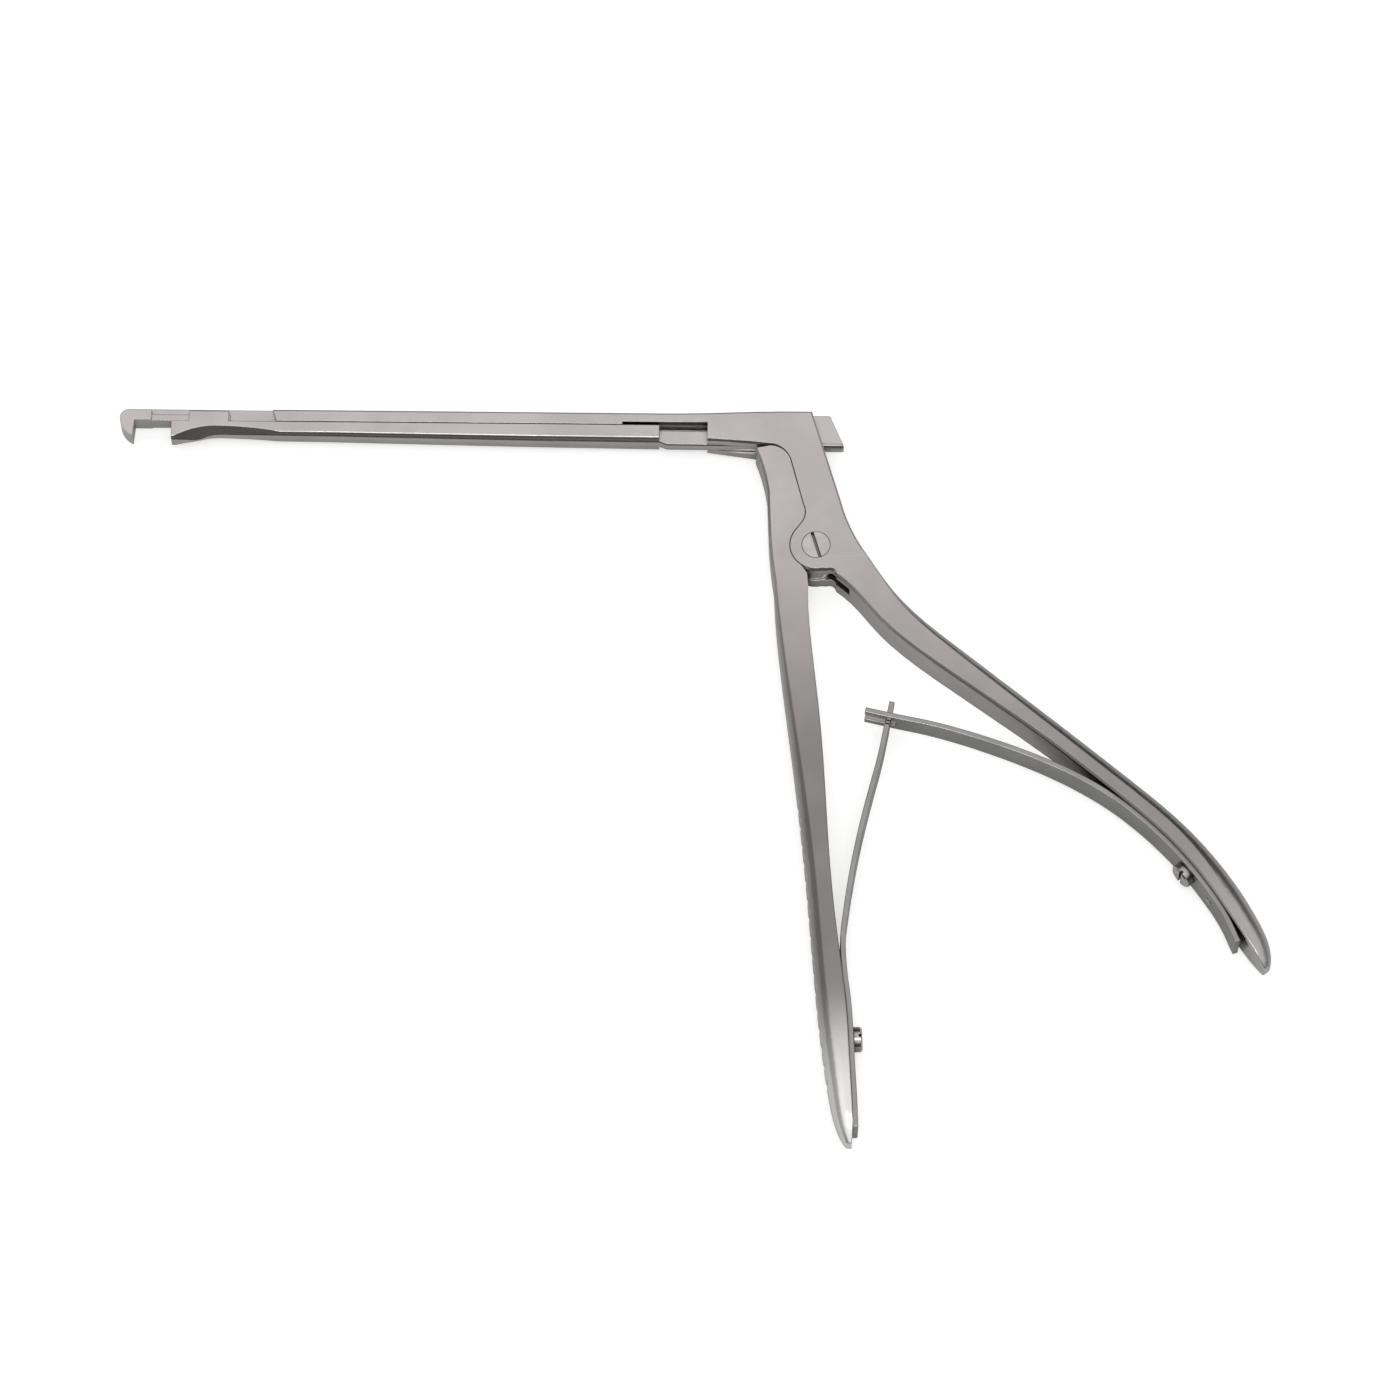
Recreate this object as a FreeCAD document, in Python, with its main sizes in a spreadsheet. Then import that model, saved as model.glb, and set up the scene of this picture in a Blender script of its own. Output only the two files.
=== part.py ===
import FreeCAD, Part
import math
import os
import re
import Sketcher

# Antrum punch lying on its side. The pivot axis is Z, the shaft runs along X with its tip at -X,
# and the two handles hang towards -Y. Lengths are in millimetres, angles in degrees.

sizes = {
    # shaft: fixed rail above, sliding bar below, both cut to one tapering thickness
    "seam_height": 27.0,          # slide plane above the pivot axis
    "seam_gap": 0.15,             # visible gap at the slide plane and round the handle's lobe
    "slide_clearance": 0.1,       # running gap of each guided face
    "rail_height": 2.7,
    "jaw_reach": 138.75,          # pivot to the hook's cutting face
    "hook_length": 2.95,
    "hook_drop": 3.55,
    "hook_face_lean": 0.3,        # its point lies this far in front of the cutting face's top
    "hook_top_drop": 0.35,        # below the rail's top
    "hook_nose_height": 0.2,      # foremost point above the slide plane
    "jaw_gap": 7.55,              # hook to slider with the jaw open
    "hook_stop_margin": 0.3,      # lug to the rail's full front end with the jaw shut
    "tip_thickness": 4.3,
    "shaft_thickness": 5.85,      # where the flare to the body starts
    "body_thickness": 9.4,
    "flare_start": 33.0,          # both measured forward from the pivot
    "flare_end": 2.0,
    "handle_reach": 100.0,        # clear of the rear handle's end
    "cut_margin": 1.0,            # cuts run this far past what they cut, pads this far into it
    "side_stock": 0.1,            # ground off each side of the forgings
    "root_lap": 1.5,              # body and lobe reach this far into their handles
    "root_inset": 0.9,
    "root_step": 0.04,
    "rail_edge_round": 0.5,
    "bar_edge_round": 0.45,
    # take-apart joint behind the jaw: inverted T rail held by the slider's lug
    "stem_thickness": 2.9,
    "foot_thickness": 3.6,
    "foot_height": 1.4,
    "foot_tail": 0.3,             # foot behind the lug with the jaw open
    "lug_setback": 11.15,         # lug's front end behind the hook's cutting face
    "lug_length": 8.0,
    "lug_height": 2.4,
    "full_rail_setback": 28.9,    # the same for the rail at its full thickness
    "rail_step_slant": 0.8,
    # slider's head, waist and bar
    "head_depth": 3.7,
    "head_length": 3.4,
    "waist_depth": 2.5,
    "waist_run": 6.6,             # behind the head's flat
    "bar_depth": 3.0,
    "front_bend_share": 0.25,     # of the way from waist to shoulder
    "front_bend_depth": 2.55,
    "rear_bend_share": 0.69,
    "rear_bend_depth": 2.92,
    # hollow ground on both lower edges behind the head, across the corner at 45 degrees
    "hollow_setback": 8.7,        # deepest place behind the jaw's front
    "hollow_bite": 1.0,
    "hollow_front_run": 9.0,
    "hollow_front_rise": 2.0,
    "hollow_rear_run": 14.0,
    "hollow_rear_rise": 1.0,
    # T-shaped key on the bar and its slot in the rail
    "key_start": 48.2,
    "key_length": 7.6,
    "key_stem_thickness": 1.2,
    "key_head_thickness": 2.2,
    "key_stem_height": 1.0,
    "key_head_height": 0.65,
    "key_opening_start": 39.5,
    "window_lift": 0.65,          # rail's underside above the slide plane at the window
    # window where the thin rear bar shows
    "shoulder_reach": 32.0,
    "body_reach": 22.2,
    "rear_bar_thickness": 2.7,
    "rear_bar_drop": 0.6,         # below the front bar's bottom
    "rear_bar_top_drop": 0.65,    # below the slide plane
    "shoulder_round": 1.5,
    # body and its slot
    "body_front_depth": 3.5,      # cheek's lower edge below the slide plane at the front
    "body_heel_depth": 4.55,      # the same where the lobe starts
    "body_bevel": 0.5,
    "slot_thickness": 3.2,
    "slot_front": 16.0,
    "back_wall": 1.7,
    "rear_corner_x": -0.95,
    "rear_line_end_x": 4.9,
    "rear_line_end_y": 10.2,
    "rear_edge_round": 0.8,
    # seam between the body's cheeks and the front handle's lobe
    "seam_corner_x": -8.9,
    "seam_bend_x": -5.0,
    "seam_bend_y": 18.35,
    "seam_heel_x": -2.5,
    "seam_heel_y": 8.9,
    "seam_hollow_x": -2.15,
    "seam_hollow_y": 6.75,
    "seam_toe_x": -2.85,
    "seam_toe_y": 4.95,
    "boss_radius": 5.2,
    # slider's rear plate and the drive tooth that moves it
    "plate_reach": 8.2,
    "plate_rise": 0.4,            # above the body's top
    "tail_top_x": 2.75,
    "tail_bottom_x": 5.55,
    "tail_round": 0.6,
    "tail_rib_height": 0.45,
    "tail_rib_thickness": 3.0,
    "tooth_height": 26.2,
    "tooth_offset": 2.6,          # forward of the pivot with the jaw open
    "tooth_radius": 1.75,
    "tooth_clearance": 0.14,
    "neck_half_width": 1.0,
    "neck_lean": 8.3,
    "neck_length": 3.9,
    "web_thickness": 3.0,
    "web_radius": 4.9,
    "web_front": 2.4,             # shoulders of the web to either side of the tooth
    "web_rear": 1.6,
    "web_root_x": -7.5,
    # pivot screw
    "screw_head_radius": 2.8,
    "screw_head_height": 1.8,
    "screw_journal_radius": 2.3,
    "screw_thread_radius": 2.0,
    "screw_clearance": 0.03,
    "screw_slot_width": 0.65,
    "screw_slot_depth": 0.8,
    "screw_slot_angle": 107.0,
    # front handle's lobe
    "lobe_corner_x": -12.3,
    "lobe_top_gap": 0.45,         # below the cheek
    "lobe_waist_x": -9.85,
    "lobe_waist_y": 12.0,
    "lobe_flank_x": -9.5,
    "lobe_flank_y": 3.2,
    "lobe_edge_round": 1.2,
    # grip grooves
    "groove_pitch": 3.9,
    "groove_radius": 1.3,
    "groove_depth": 0.35,
    "front_grooves": 16,
    "rear_grooves": 13,
    "front_groove_start": 47.0,   # along the back from the handle's root
    "rear_groove_start": 47.0,
    # leaf springs
    "leaf_thickness": 1.1,
    "leaf_width": 7.0,
    "leaf_end_width": 5.4,
    "leaf_seat_gap": 0.02,
    "tongue_width": 1.9,
    "tongue_length": 5.6,
    "fork_slot_width": 2.3,
    "fork_slot_length": 6.4,
    # spring screws and locating pins, placed along each handle's face from its root
    "front_seat_start": 80.2,
    "front_screw_along": 95.9,
    "front_pin_along": 103.5,
    "front_seat_end": 115.0,
    "rear_seat_start": 80.5,
    "rear_screw_along": 93.5,
    "rear_pin_along": 100.9,
    "rear_seat_end": 101.6,
    "spring_screw_radius": 1.3,
    "spring_head_radius": 2.5,
    "spring_head_height": 1.6,
    "spring_head_gap": 0.1,
    "spring_head_bevel": 0.35,
    "spring_screw_depth": 2.3,    # below the handle's face
    "spring_slot_width": 0.6,
    "spring_slot_depth": 0.7,
    "pin_radius": 0.8,
    "pin_depth": 1.9,
    "pin_rise": 0.1,
    "hole_clearance": 0.03,
}

# A handle is a row of D-shaped sections along its flat inner face.
# x, y of the inner face, heading of the handle, depth, half width, corner radius
stations = {
    "rear": [
        (4.2, -6.2, -44.0, 7.7, 4.95, 1.0),
        (12.6, -15.1, -42.0, 6.0, 4.95, 1.7),
        (25.2, -25.9, -38.0, 5.8, 4.95, 2.9),
        (47.1, -42.0, -37.0, 4.6, 4.95, 3.5),
        (59.5, -52.3, -41.0, 4.6, 4.95, 3.6),
        (70.7, -62.7, -48.0, 4.8, 4.95, 3.7),
        (78.2, -72.2, -55.0, 5.0, 4.75, 3.7),
        (84.0, -81.4, -57.0, 4.7, 4.35, 3.5),
        (87.0, -86.1, -57.0, 3.5, 3.4, 2.6),
        (88.7, -88.7, -57.0, 1.5, 1.9, 1.1),
    ],
    "front": [
        (-1.5, -8.5, -90.0, 6.8, 4.95, 1.4),
        (0.2, -30.0, -90.0, 6.5, 4.95, 2.3),
        (2.35, -55.0, -90.0, 5.5, 4.95, 3.0),
        (4.6, -82.0, -90.0, 5.1, 4.95, 3.4),
        (6.65, -99.0, -90.0, 5.6, 4.9, 3.6),
        (7.3, -110.0, -90.0, 4.9, 4.6, 3.6),
        (7.8, -118.0, -90.0, 4.1, 4.1, 3.2),
        (8.0, -123.0, -90.0, 2.9, 3.0, 2.2),
        (7.9, -125.9, -90.0, 1.3, 1.6, 0.9),
    ],
}

# Centreline points of each leaf beyond its seat, from the seat to the free end
leaves = {
    "rear": [(59.5, -53.4), (44.55, -45.1), (34.7, -41.3), (21.6, -37.45), (14.6, -36.0), (10.1, -34.95)],
    "front": [(6.5, -77.9), (8.1, -67.2), (11.2, -52.75), (14.35, -38.5), (14.7, -36.0), (15.5, -32.4)],
}
leaf_heels = {"rear": [(83.45, -83.6)], "front": []}

doc = FreeCAD.newDocument("AntrumPunch")
sheet = doc.addObject("Spreadsheet::Sheet", "Sizes")
for handle, rows in stations.items():
    for index, row in enumerate(rows):
        for key, number in zip(("x", "y", "heading", "depth", "half_width", "corner"), row):
            sizes["%s_%s_of_station_%d" % (handle, key, index)] = number
for part_name, lists in (("leaf", leaves), ("heel", leaf_heels)):
    for handle, points in lists.items():
        for index, (x, y) in enumerate(points):
            sizes["%s_%s_x_at_%d" % (handle, part_name, index)] = x
            sizes["%s_%s_y_at_%d" % (handle, part_name, index)] = y
for row, (alias, number) in enumerate(sizes.items(), start=1):
    sheet.set("A%d" % row, alias)
    sheet.set("B%d" % row, str(number))
    sheet.setAlias("B%d" % row, alias)
doc.recompute()


def bound(text):
    # an expression in which each size is read from the sheet
    return re.sub(r"\b([a-z]+_[a-z0-9_]+)\b", r"Sizes.\1", str(text))


def value(text):
    return float(sheet.evalExpression(bound(text)))


def new_body(label):
    body = doc.addObject("PartDesign::Body", label)
    body.Label = label
    body.setExpression("Placement.Base.z", bound("body_thickness / 2"))
    return body


def origin_plane(body, role):
    return [item for item in body.Origin.OriginFeatures if item.Role == role][0]


def new_sketch(body, name, role="XY_Plane"):
    sketch = body.newObject("Sketcher::SketchObject", name)
    sketch.AttachmentSupport = [(origin_plane(body, role), "")]
    sketch.MapMode = "FlatFace"
    return sketch


def pin_point(sketch, geometry, end, point):
    # holds one end of a line or arc at a place worked out from the sheet
    for kind, text in zip(("DistanceX", "DistanceY"), point):
        constraint = sketch.addConstraint(Sketcher.Constraint(kind, geometry, end, value(text)))
        sketch.setExpression("Constraints[%d]" % constraint, bound(text))


def vector(point):
    return FreeCAD.Vector(value(point[0]), value(point[1]), 0)


def arc_through(start, through, end):
    # arc of a circle, always stored counter-clockwise; tells whether start is its first end
    circle = Part.Circle(start, through, end)
    centre = circle.Center
    turn = (through - start).cross(end - through).z
    first, last = (start, end) if turn > 0 else (end, start)
    begin = math.atan2(first.y - centre.y, first.x - centre.x)
    finish = math.atan2(last.y - centre.y, last.x - centre.x)
    if finish < begin:
        finish += 2 * math.pi
    flat = Part.Circle(centre, FreeCAD.Vector(0, 0, 1), circle.Radius)
    return Part.ArcOfCircle(flat, begin, finish), turn > 0


def outline(sketch, start, *moves):
    # closed outline: each move is the next point, or (point on the arc, next point)
    here = start
    for move in moves:
        if isinstance(move[0], tuple):
            through, there = move
            curve, forward = arc_through(vector(here), vector(through), vector(there))
            arc = sketch.addGeometry(curve, False)
            mark = sketch.addGeometry(Part.Point(vector(through)), True)
            pin_point(sketch, mark, 1, through)
            sketch.addConstraint(Sketcher.Constraint("PointOnObject", mark, 1, arc))
            pin_point(sketch, arc, 1 if forward else 2, here)
            pin_point(sketch, arc, 2 if forward else 1, there)
        else:
            there = move
            line = sketch.addGeometry(Part.LineSegment(vector(here), vector(there)), False)
            pin_point(sketch, line, 1, here)
            pin_point(sketch, line, 2, there)
        here = there
    return sketch


def box_outline(sketch, left, bottom, right, top):
    return outline(sketch, (left, bottom), (right, bottom), (right, top), (left, top), (left, bottom))


def disc_outline(sketch, x, y, radius):
    centre = FreeCAD.Vector(value(x), value(y), 0)
    disc = sketch.addGeometry(Part.Circle(centre, FreeCAD.Vector(0, 0, 1), value(radius)), False)
    pin_point(sketch, disc, 3, (x, y))
    constraint = sketch.addConstraint(Sketcher.Constraint("Radius", disc, value(radius)))
    sketch.setExpression("Constraints[%d]" % constraint, bound(radius))
    return sketch


def pad(body, name, sketch, length):
    feature = body.newObject("PartDesign::Pad", name)
    feature.Profile = sketch
    feature.SideType = "Symmetric"
    feature.setExpression("Length", bound(length))
    doc.recompute()
    return feature


def pocket(body, name, sketch, length=None, reversed_cut=False):
    # symmetric about the sketch unless a direction is asked for
    before = body.Shape.Volume
    feature = body.newObject("PartDesign::Pocket", name)
    feature.Profile = sketch
    if length is None:
        feature.SideType = "Symmetric"
        feature.Type = "Length"
        feature.Length = 1000
    elif length.startswith("both "):
        feature.SideType = "Symmetric"
        feature.setExpression("Length", bound(length[5:]))
    else:
        feature.Reversed = reversed_cut
        feature.setExpression("Length", bound(length))
    doc.recompute()
    if body.Shape.Volume > before - 1e-3:
        raise RuntimeError(name + " cuts nothing")
    return feature


def revolve(body, name, sketch):
    feature = body.newObject("PartDesign::Revolution", name)
    feature.Profile = sketch
    feature.ReferenceAxis = (sketch, ["V_Axis"])
    feature.Angle = 360
    doc.recompute()
    return feature


def lift_sketch(sketch, height, angle="0"):
    # moves a sketch along its normal and turns it about that normal
    sketch.AttachmentOffset = FreeCAD.Placement(
        FreeCAD.Vector(0, 0, value(height)), FreeCAD.Rotation(FreeCAD.Vector(0, 0, 1), value(angle)))
    sketch.setExpression("AttachmentOffset.Base.z", bound(height))


def corner_sketch(body, name, turn):
    # sketch through the X axis, turned to face a lower edge at 45 degrees
    sketch = new_sketch(body, name, "XZ_Plane")
    sketch.AttachmentOffset = FreeCAD.Placement(
        FreeCAD.Vector(), FreeCAD.Rotation(FreeCAD.Vector(1, 0, 0), turn))
    return sketch


def edges_where(shape, test):
    return ["Edge%d" % (index + 1) for index, edge in enumerate(shape.Edges) if test(edge)]


def fillet(body, name, radius, test):
    base = body.Tip
    feature = body.newObject("PartDesign::Fillet", name)
    feature.Base = (base, edges_where(base.Shape, test))
    feature.setExpression("Radius", bound(radius))
    doc.recompute()
    return feature


def middle(edge):
    return edge.valueAt((edge.FirstParameter + edge.LastParameter) / 2)


def half_thickness(reach):
    # half thickness of the tapering shaft at a distance forward of the pivot
    return ("(tip_thickness + (shaft_thickness - tip_thickness) * (jaw_reach + hook_length - (%s))"
            " / (jaw_reach + hook_length - flare_start)) / 2" % reach)


def cut_sides(body, name, front):
    # grinds both sides of a blank: taper along the shaft, S-shaped flare, then flat to the handles
    flare_middle = "(flare_start + flare_end) / 2"
    middle_half = "(shaft_thickness + body_thickness) / 4"
    start_half = half_thickness("flare_start")
    first_via = "(%s) * 3 / 4 + (%s) / 4" % (start_half, middle_half)
    second_via = "body_thickness * 3 / 8 + (%s) / 4" % middle_half
    for side, sign in (("near", ""), ("far", "-")):
        sketch = new_sketch(body, "%s_%s" % (name, side), "XZ_Plane")
        start = ("-(%s)" % front, sign + "(%s)" % half_thickness(front))
        outline(sketch, start,
                ("-flare_start", sign + "(%s)" % start_half),
                (("-(flare_start * 3 + flare_end) / 4", sign + "(%s)" % first_via),
                 ("-(%s)" % flare_middle, sign + "(%s)" % middle_half)),
                (("-(flare_start + flare_end * 3) / 4", sign + "(%s)" % second_via),
                 ("-flare_end", sign + "body_thickness / 2")),
                ("handle_reach", sign + "body_thickness / 2"),
                ("handle_reach", sign + "body_thickness"),
                ("-(%s)" % front, sign + "body_thickness"),
                start)
        pocket(body, "%s_%s_cut" % (name, side), sketch)


def section(body, handle, index):
    # D-shaped section square to the handle: flat inner face, straight sides, rounded back
    tag = "%s_%%s_of_station_%d" % (handle, index)
    heading = value(tag % "heading")
    sketch = new_sketch(body, "%s_section_%d" % (handle, index), "XZ_Plane")
    sketch.AttachmentOffset = FreeCAD.Placement(
        FreeCAD.Vector(value(tag % "x"), 0, -value(tag % "y")),
        FreeCAD.Rotation(FreeCAD.Vector(0, 1, 0), heading + 90))
    out, half, corner = (tag % "depth", tag % "half_width", tag % "corner")
    turn = "(1 - sqrt(0.5))"
    back = "" if handle == "rear" else "-"
    side_end = "%s(%s - %s)" % (back, out, corner)
    bulge = "%s(%s - %s * %s)" % (back, out, corner, turn)
    return outline(sketch,
                   ("0", "-" + half),
                   (side_end, "-" + half),
                   ((bulge, "-%s + %s * %s" % (half, corner, turn)), (back + out, "-%s + %s" % (half, corner))),
                   (back + out, "%s - %s" % (half, corner)),
                   ((bulge, "%s - %s * %s" % (half, corner, turn)), (side_end, half)),
                   ("0", half),
                   ("0", "-" + half))


def handle_loft(body, handle):
    sections = [section(body, handle, index) for index in range(len(stations[handle]))]
    loft = body.newObject("PartDesign::AdditiveLoft", handle + "_grip")
    loft.Profile = sections[0]
    loft.Sections = sections[1:]
    doc.recompute()
    return loft


def root_point(handle, along, out):
    # place at a handle's root, measured along the handle and out from its inner face
    side = "" if handle == "rear" else "-"
    heading = handle + "_heading_of_station_0"
    return ("%s_x_of_station_0 + (%s) * cos(%s) - %s(%s) * sin(%s)" % (handle, along, heading, side, out, heading),
            "%s_y_of_station_0 + (%s) * sin(%s) + %s(%s) * cos(%s)" % (handle, along, heading, side, out, heading))


def root_lap(handle):
    # corner points of the lap, from the back of the handle to its inner face
    depth = handle + "_depth_of_station_0"
    return [root_point(handle, "0", depth + " - root_step"),
            root_point(handle, "root_lap", depth + " - root_inset"),
            root_point(handle, "root_lap", "root_inset"),
            root_point(handle, "0", "root_step")]


def station_curve(handle, at_back):
    # curve along the handle's inner face, or along the middle of its rounded back
    points = []
    for index in range(len(stations[handle])):
        tag = "%s_%%s_of_station_%d" % (handle, index)
        x, y, heading, depth = (value(tag % key) for key in ("x", "y", "heading", "depth"))
        turn = math.radians(heading + (90 if handle == "rear" else -90))
        out = depth if at_back else 0
        points.append(FreeCAD.Vector(x + out * math.cos(turn), y + out * math.sin(turn), 0))
    curve = Part.BSplineCurve()
    curve.interpolate(points)
    return curve


def place_along(handle, distance, at_back=False):
    # point, heading and outward normal at a distance from the handle's root
    curve = station_curve(handle, at_back)
    at = curve.parameterAtDistance(distance)
    tangent = curve.tangent(at)[0]
    outward = FreeCAD.Vector(-tangent.y, tangent.x, 0) * (1 if handle == "rear" else -1)
    return curve.value(at), math.degrees(math.atan2(tangent.y, tangent.x)), outward


def grip_grooves(body, handle):
    # shallow round-bottomed grooves straight across the handle's back
    sketch = new_sketch(body, handle + "_grooves")
    for step in range(int(value(handle + "_grooves"))):
        distance = value("%s_groove_start + %d * groove_pitch" % (handle, step))
        point, heading, outward = place_along(handle, distance, at_back=True)
        centre = point + outward * value("groove_radius - groove_depth")
        disc = sketch.addGeometry(Part.Circle(centre, FreeCAD.Vector(0, 0, 1), value("groove_radius")), False)
        sketch.addConstraint(Sketcher.Constraint("Block", disc))
    return pocket(body, handle + "_groove_cut", sketch)


def seat_sketch(body, name, handle, distance):
    # sketch lying on the handle's inner face
    point, heading, outward = place_along(handle, distance)
    sketch = new_sketch(body, name, "XZ_Plane")
    sketch.AttachmentOffset = FreeCAD.Placement(
        FreeCAD.Vector(point.x, 0, -point.y), FreeCAD.Rotation(FreeCAD.Vector(0, 1, 0), heading))
    return sketch


def seat_hole(body, handle, fastener, radius, depth):
    distance = value("%s_%s_along" % (handle, fastener))
    sketch = seat_sketch(body, "%s_%s_hole" % (handle, fastener), handle, distance)
    disc_outline(sketch, "0", "0", radius + " + hole_clearance")
    pocket(body, "%s_%s_hole_cut" % (handle, fastener), sketch, "both 2 * (%s)" % depth)


def seat_holes(body, handle):
    seat_hole(body, handle, "screw", "spring_screw_radius", "spring_screw_depth + hole_clearance")
    seat_hole(body, handle, "pin", "pin_radius", "pin_depth + hole_clearance")


# Frame: hook, rail, slotted body and rear handle forged in one piece
frame = new_body("frame")
hook_front = "-(jaw_reach + hook_length)"
lug_start = "(jaw_reach - lug_setback)"
lug_end = "(jaw_reach - lug_setback - lug_length)"
full_rail = "(jaw_reach - full_rail_setback)"
hook_stop = "(jaw_reach - lug_setback + jaw_gap - seam_gap + hook_stop_margin)"
rail_top = "seam_height + rail_height"
rail_bottom = "seam_height + seam_gap / 2"
hook_point = "seam_height - hook_drop"
hook_top = "seam_height + rail_height - hook_top_drop"
window_top = "seam_height + window_lift"
body_heel = "seam_height - body_heel_depth"
bar_bottom = "seam_height - bar_depth"
rear_bar_bottom = "seam_height - bar_depth - rear_bar_drop"
rear_bar_top = "seam_height - rear_bar_top_drop"
boss_start = 138.0
boss_end = -76.0
boss_x = "boss_radius * cos(%s)"
boss_y = "boss_radius * sin(%s)"
rear_back, rear_lap_back, rear_lap_face, rear_face = root_lap("rear")
stock_thickness = "body_thickness + 2 * side_stock"

side = outline(
    new_sketch(frame, "side_profile"),
    ("-" + full_rail, rail_bottom),
    ("-%s - rail_step_slant" % full_rail, rail_top),
    ("rear_corner_x", rail_top),
    ("rear_line_end_x", "rear_line_end_y"),
    (("rear_line_end_x + 2.3", "rear_line_end_y - 6.6"), rear_back),
    rear_lap_back,
    rear_lap_face,
    rear_face,
    (("rear_x_of_station_0 - 0.7", "-boss_radius + 0.07"), ("2.4", "-boss_radius * sin(76) - 0.05")),
    (boss_x % boss_end, boss_y % boss_end),
    (("-boss_radius", "0"), (boss_x % boss_start, boss_y % boss_start)),
    ("seam_toe_x", "seam_toe_y"),
    (("seam_hollow_x", "seam_hollow_y"), ("seam_heel_x", "seam_heel_y")),
    ("seam_bend_x", "seam_bend_y"),
    (("seam_bend_x - 1.45", "seam_bend_y + 2.7"), ("seam_corner_x", body_heel)),
    ("-body_reach", "seam_height - body_front_depth"),
    ("-body_reach", window_top),
    ("-key_opening_start", window_top),
    ("-key_opening_start", rail_bottom),
    ("-" + full_rail, rail_bottom))
pad(frame, "blank", side, stock_thickness)
fillet(frame, "rear_edges", "rear_edge_round",
       lambda edge: abs(middle(edge).z) > 4.6 and middle(edge).x > 0 and middle(edge).y > 0
       and edge.Length > 6 and middle(edge).x > value("seam_hollow_x") + 2)

stem = box_outline(new_sketch(frame, "stem_profile"),
                   "-jaw_reach - hook_length / 3", rail_bottom, "-%s + cut_margin" % full_rail, rail_top)
pad(frame, "stem", stem, "stem_thickness")
foot = box_outline(new_sketch(frame, "foot_profile"),
                   "-jaw_reach - hook_length / 3", rail_bottom,
                   "-%s + foot_tail" % lug_end, "seam_height + foot_height")
pad(frame, "foot", foot, "foot_thickness")
hook = outline(
    new_sketch(frame, "hook_profile"),
    ("-" + hook_stop, hook_top),
    ("-" + hook_stop, rail_bottom),
    ("-jaw_reach", rail_bottom),
    ("-jaw_reach - hook_face_lean", hook_point),
    (("-jaw_reach - hook_length * 0.73", "seam_height - hook_drop * 0.57"),
     (hook_front, "seam_height + hook_nose_height")),
    (("-jaw_reach - hook_length * 0.84", "seam_height + rail_height * 0.66"),
     ("-jaw_reach - hook_length * 0.37", hook_top)),
    ("-" + hook_stop, hook_top))
pad(frame, "hook", hook, stock_thickness)
handle_loft(frame, "rear")
cut_sides(frame, "flank", "jaw_reach + hook_length + cut_margin")
grip_grooves(frame, "rear")
fillet(frame, "top_edges", "rail_edge_round",
       lambda edge: abs(middle(edge).y - value(rail_top)) < 0.01 and abs(middle(edge).z) > 2
       and edge.Length > 5)

# bevel on the body's lower edges, running out where the lobe starts
flare_share = "((flare_start - (%s)) / (flare_start - flare_end))"
front_half = "(shaft_thickness / 2 + (body_thickness - shaft_thickness) * pow(%s; 2))" % (flare_share % "body_reach")
heel_half = "(body_thickness / 2 - (body_thickness - shaft_thickness) * pow(1 - %s; 2))" % (
    flare_share % "-seam_corner_x")
for corner, turn in (("near", 45), ("far", 135)):
    bevel = corner_sketch(frame, "body_bevel_" + corner, turn)
    bevel_front = ("-body_reach - cut_margin",
                   "(%s - (seam_height - body_front_depth)) / sqrt(2) - body_bevel" % front_half)
    bevel_end = ("seam_corner_x", "(%s - (%s)) / sqrt(2)" % (heel_half, body_heel))
    outline(bevel, bevel_front, bevel_end,
            (bevel_end[0], bevel_end[1] + " + cut_margin"),
            (bevel_front[0], bevel_end[1] + " + cut_margin"),
            bevel_front)
    pocket(frame, "body_bevel_%s_cut" % corner, bevel)

# slot for the slider's key: throat, wider head, and the opening where the key drops out
key_back = "-(key_start + jaw_gap + 1)"
throat = box_outline(new_sketch(frame, "throat_profile"),
                     key_back, "seam_height - cut_margin", "-key_opening_start + 0.1",
                     "seam_height + key_stem_height + 0.2")
pocket(frame, "key_throat", throat, "both key_stem_thickness + 2 * slide_clearance")
head_slot = box_outline(new_sketch(frame, "head_slot_profile"),
                        key_back, "seam_height + key_stem_height - slide_clearance",
                        "-key_opening_start + 0.1",
                        "seam_height + key_stem_height + key_head_height + slide_clearance")
pocket(frame, "key_head_slot", head_slot, "both key_head_thickness + 2 * slide_clearance")
opening = box_outline(new_sketch(frame, "opening_profile"),
                      "-key_opening_start", "seam_height - cut_margin", "-body_reach + 0.6",
                      "seam_height + key_stem_height + key_head_height + slide_clearance")
pocket(frame, "key_opening", opening, "both key_head_thickness + 4 * slide_clearance")

# slot between the cheeks, open below, at the top and at the rear
slot = outline(
    new_sketch(frame, "slot_profile"),
    ("-slot_front", rail_top + " + cut_margin"),
    ("-slot_front", rear_bar_top + " + 0.2"),
    ("-body_reach - cut_margin", rear_bar_top + " + 0.2"),
    ("-body_reach - cut_margin", "seam_height * 0.7"),
    ("-14", "0"),
    ("-8", "-9.6"),
    ("6.4", "-9.2"),
    (("8.0", "-4.6"), ("7.2", "0.8")),
    ("rear_line_end_x - back_wall", "rear_line_end_y"),
    ("rear_corner_x + (rear_line_end_x - rear_corner_x) * (rail_height + bar_depth + rear_bar_drop + 0.4)"
     " / (seam_height + rail_height - rear_line_end_y) - back_wall", rear_bar_bottom + " - 0.4"),
    ("8.5", rear_bar_bottom + " - 0.4"),
    ("8.5", rail_top + " + cut_margin"),
    ("-slot_front", rail_top + " + cut_margin"))
pocket(frame, "slot", slot, "both slot_thickness")

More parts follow.
